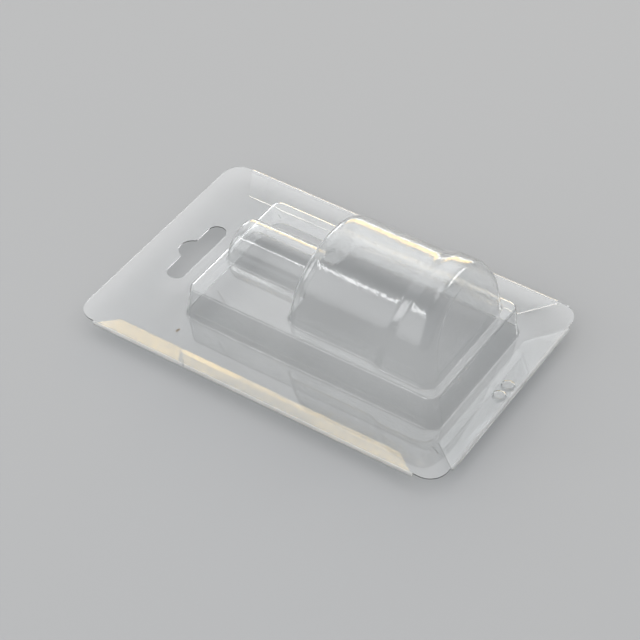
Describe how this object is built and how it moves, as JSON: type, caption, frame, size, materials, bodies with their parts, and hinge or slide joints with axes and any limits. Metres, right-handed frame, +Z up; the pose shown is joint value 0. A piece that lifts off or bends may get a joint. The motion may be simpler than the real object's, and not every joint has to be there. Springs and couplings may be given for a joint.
{
  "type": "slide blister pack",
  "caption": "Clear plastic slide blister: a half-round dome and neck on a raised tray, with a hang slot and edges folded under to hold a backing card.",
  "frame": {"origin": "on the surface that the pack rests on, below the middle of its outline", "axes": "+X from the hang slot edge to the closed end, +Y across the pack, +Z up, out of the dome"},
  "size_m": [0.15, 0.1, 0.0481],
  "materials": {
    "clear_sheet": "clear, smooth and glossy"
  },
  "bodies": {
    "root": {"blister_shell": "clear_sheet"}
  },
  "joints": []
}
